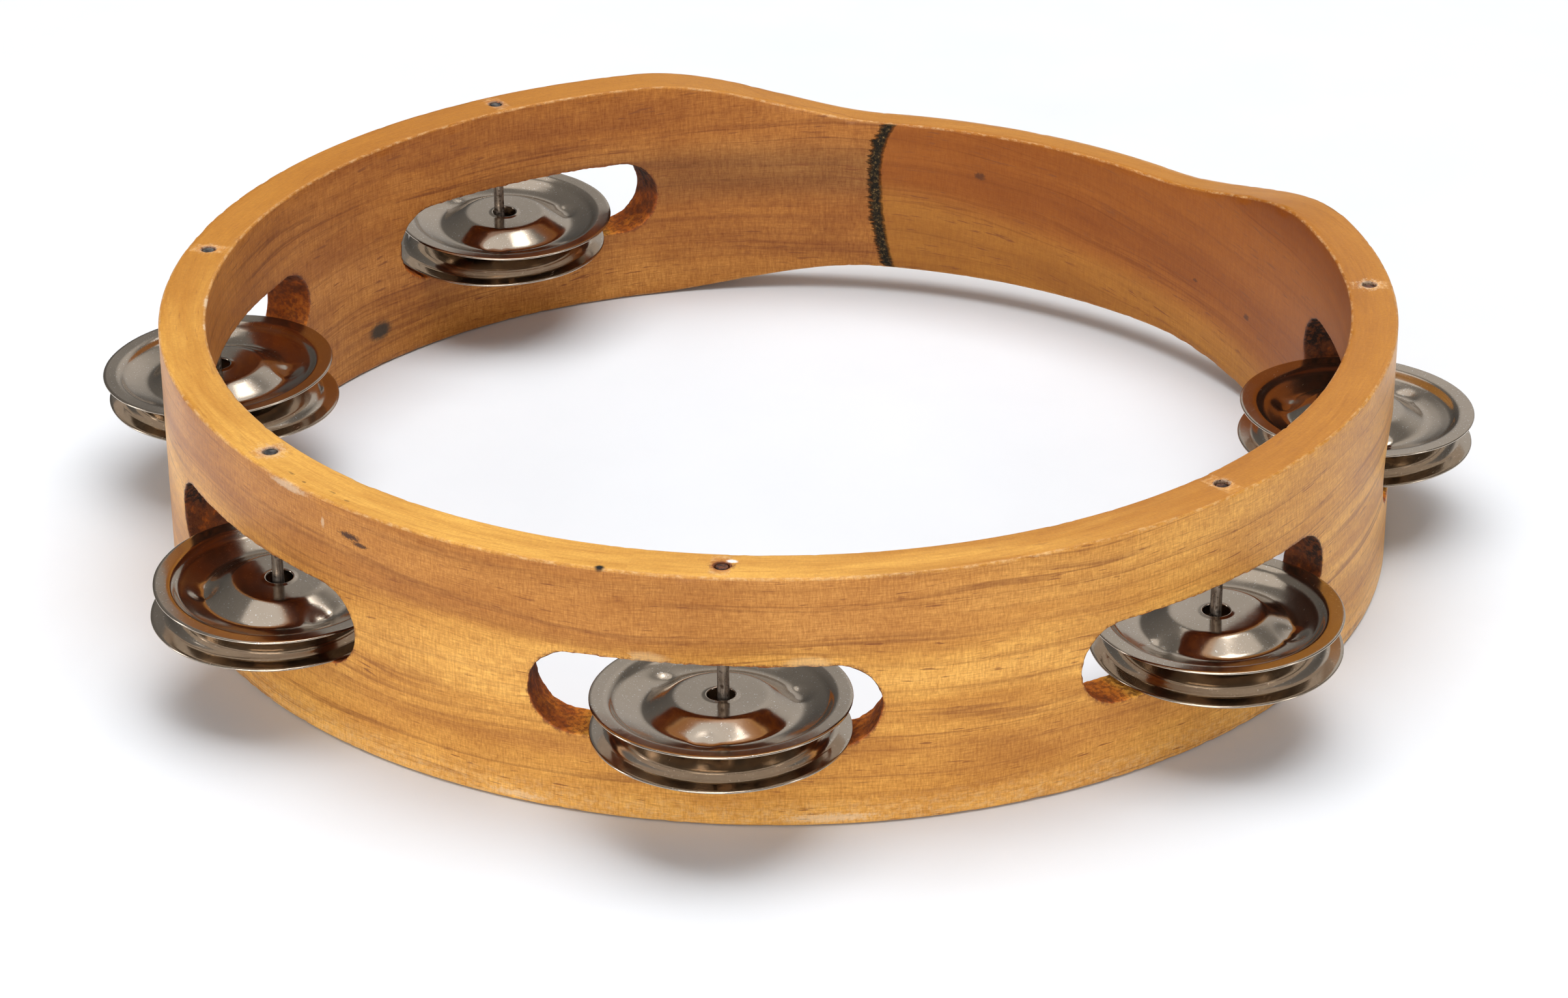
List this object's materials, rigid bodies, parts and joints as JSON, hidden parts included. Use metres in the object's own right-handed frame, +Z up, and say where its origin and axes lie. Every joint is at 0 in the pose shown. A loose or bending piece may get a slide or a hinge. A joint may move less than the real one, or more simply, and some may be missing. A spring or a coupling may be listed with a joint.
{
  "type": "tambourine",
  "caption": "Headless hand tambourine: bent wooden hoop with a waisted grip and slots, and dished steel jingles in pairs that slide and spin on pins.",
  "frame": {"origin": "on the underside plane, at the middle of the box round hoop and jingles; the hoop's own centre is 4.7 mm towards +Y", "axes": "+Z up along the hoop's axis, +Y from the middle of the instrument to the hand grip, +X to the right"},
  "size_m": [0.2812, 0.2632, 0.052],
  "materials": {
    "varnished_wood": "clear gloss varnish over honey-coloured wood",
    "pin_steel": "dull drawn steel wire",
    "jingle_plate": "bright plated sheet steel, finely scratched"
  },
  "bodies": {
    "shell": {"wooden_shell": "varnished_wood"},
    "pin_1": {"pin_1": "pin_steel"},
    "lower_jingle_1": {"lower_jingle_1": "jingle_plate"},
    "upper_jingle_1": {"upper_jingle_1": "jingle_plate"},
    "pin_2": {"pin_2": "pin_steel"},
    "lower_jingle_2": {"lower_jingle_2": "jingle_plate"},
    "upper_jingle_2": {"upper_jingle_2": "jingle_plate"},
    "pin_3": {"pin_3": "pin_steel"},
    "lower_jingle_3": {"lower_jingle_3": "jingle_plate"},
    "upper_jingle_3": {"upper_jingle_3": "jingle_plate"},
    "pin_4": {"pin_4": "pin_steel"},
    "lower_jingle_4": {"lower_jingle_4": "jingle_plate"},
    "upper_jingle_4": {"upper_jingle_4": "jingle_plate"},
    "pin_5": {"pin_5": "pin_steel"},
    "lower_jingle_5": {"lower_jingle_5": "jingle_plate"},
    "upper_jingle_5": {"upper_jingle_5": "jingle_plate"},
    "pin_6": {"pin_6": "pin_steel"},
    "lower_jingle_6": {"lower_jingle_6": "jingle_plate"},
    "upper_jingle_6": {"upper_jingle_6": "jingle_plate"}
  },
  "joints": [
    {"name": "jingle_spin_1", "type": "hinge", "parent": "shell", "child": "pin_1", "pos_m": [-0.10636, 0.06484, 0.02], "axis": [0, 0, 1], "continuous": true},
    {"name": "lower_jingle_slide_1", "type": "slide", "parent": "pin_1", "child": "lower_jingle_1", "axis": [0, 0, 1], "range_m": [0, 0.0038]},
    {"name": "upper_jingle_slide_1", "type": "slide", "parent": "lower_jingle_1", "child": "upper_jingle_1", "axis": [0, 0, 1], "range_m": [0, 0.0038]},
    {"name": "jingle_spin_2", "type": "hinge", "parent": "shell", "child": "pin_2", "pos_m": [-0.11602, -0.03371, 0.02], "axis": [0, 0, 1], "continuous": true},
    {"name": "lower_jingle_slide_2", "type": "slide", "parent": "pin_2", "child": "lower_jingle_2", "axis": [0, 0, 1], "range_m": [0, 0.0038]},
    {"name": "upper_jingle_slide_2", "type": "slide", "parent": "lower_jingle_2", "child": "upper_jingle_2", "axis": [0, 0, 1], "range_m": [0, 0.0038]},
    {"name": "jingle_spin_3", "type": "hinge", "parent": "shell", "child": "pin_3", "pos_m": [-0.04951, -0.10706, 0.02], "axis": [0, 0, 1], "continuous": true},
    {"name": "lower_jingle_slide_3", "type": "slide", "parent": "pin_3", "child": "lower_jingle_3", "axis": [0, 0, 1], "range_m": [0, 0.0038]},
    {"name": "upper_jingle_slide_3", "type": "slide", "parent": "lower_jingle_3", "child": "upper_jingle_3", "axis": [0, 0, 1], "range_m": [0, 0.0038]},
    {"name": "jingle_spin_4", "type": "hinge", "parent": "shell", "child": "pin_4", "pos_m": [0.04951, -0.10706, 0.02], "axis": [0, 0, 1], "continuous": true},
    {"name": "lower_jingle_slide_4", "type": "slide", "parent": "pin_4", "child": "lower_jingle_4", "axis": [0, 0, 1], "range_m": [0, 0.0038]},
    {"name": "upper_jingle_slide_4", "type": "slide", "parent": "lower_jingle_4", "child": "upper_jingle_4", "axis": [0, 0, 1], "range_m": [0, 0.0038]},
    {"name": "jingle_spin_5", "type": "hinge", "parent": "shell", "child": "pin_5", "pos_m": [0.11602, -0.03371, 0.02], "axis": [0, 0, 1], "continuous": true},
    {"name": "lower_jingle_slide_5", "type": "slide", "parent": "pin_5", "child": "lower_jingle_5", "axis": [0, 0, 1], "range_m": [0, 0.0038]},
    {"name": "upper_jingle_slide_5", "type": "slide", "parent": "lower_jingle_5", "child": "upper_jingle_5", "axis": [0, 0, 1], "range_m": [0, 0.0038]},
    {"name": "jingle_spin_6", "type": "hinge", "parent": "shell", "child": "pin_6", "pos_m": [0.10636, 0.06484, 0.02], "axis": [0, 0, 1], "continuous": true},
    {"name": "lower_jingle_slide_6", "type": "slide", "parent": "pin_6", "child": "lower_jingle_6", "axis": [0, 0, 1], "range_m": [0, 0.0038]},
    {"name": "upper_jingle_slide_6", "type": "slide", "parent": "lower_jingle_6", "child": "upper_jingle_6", "axis": [0, 0, 1], "range_m": [0, 0.0038]}
  ]
}
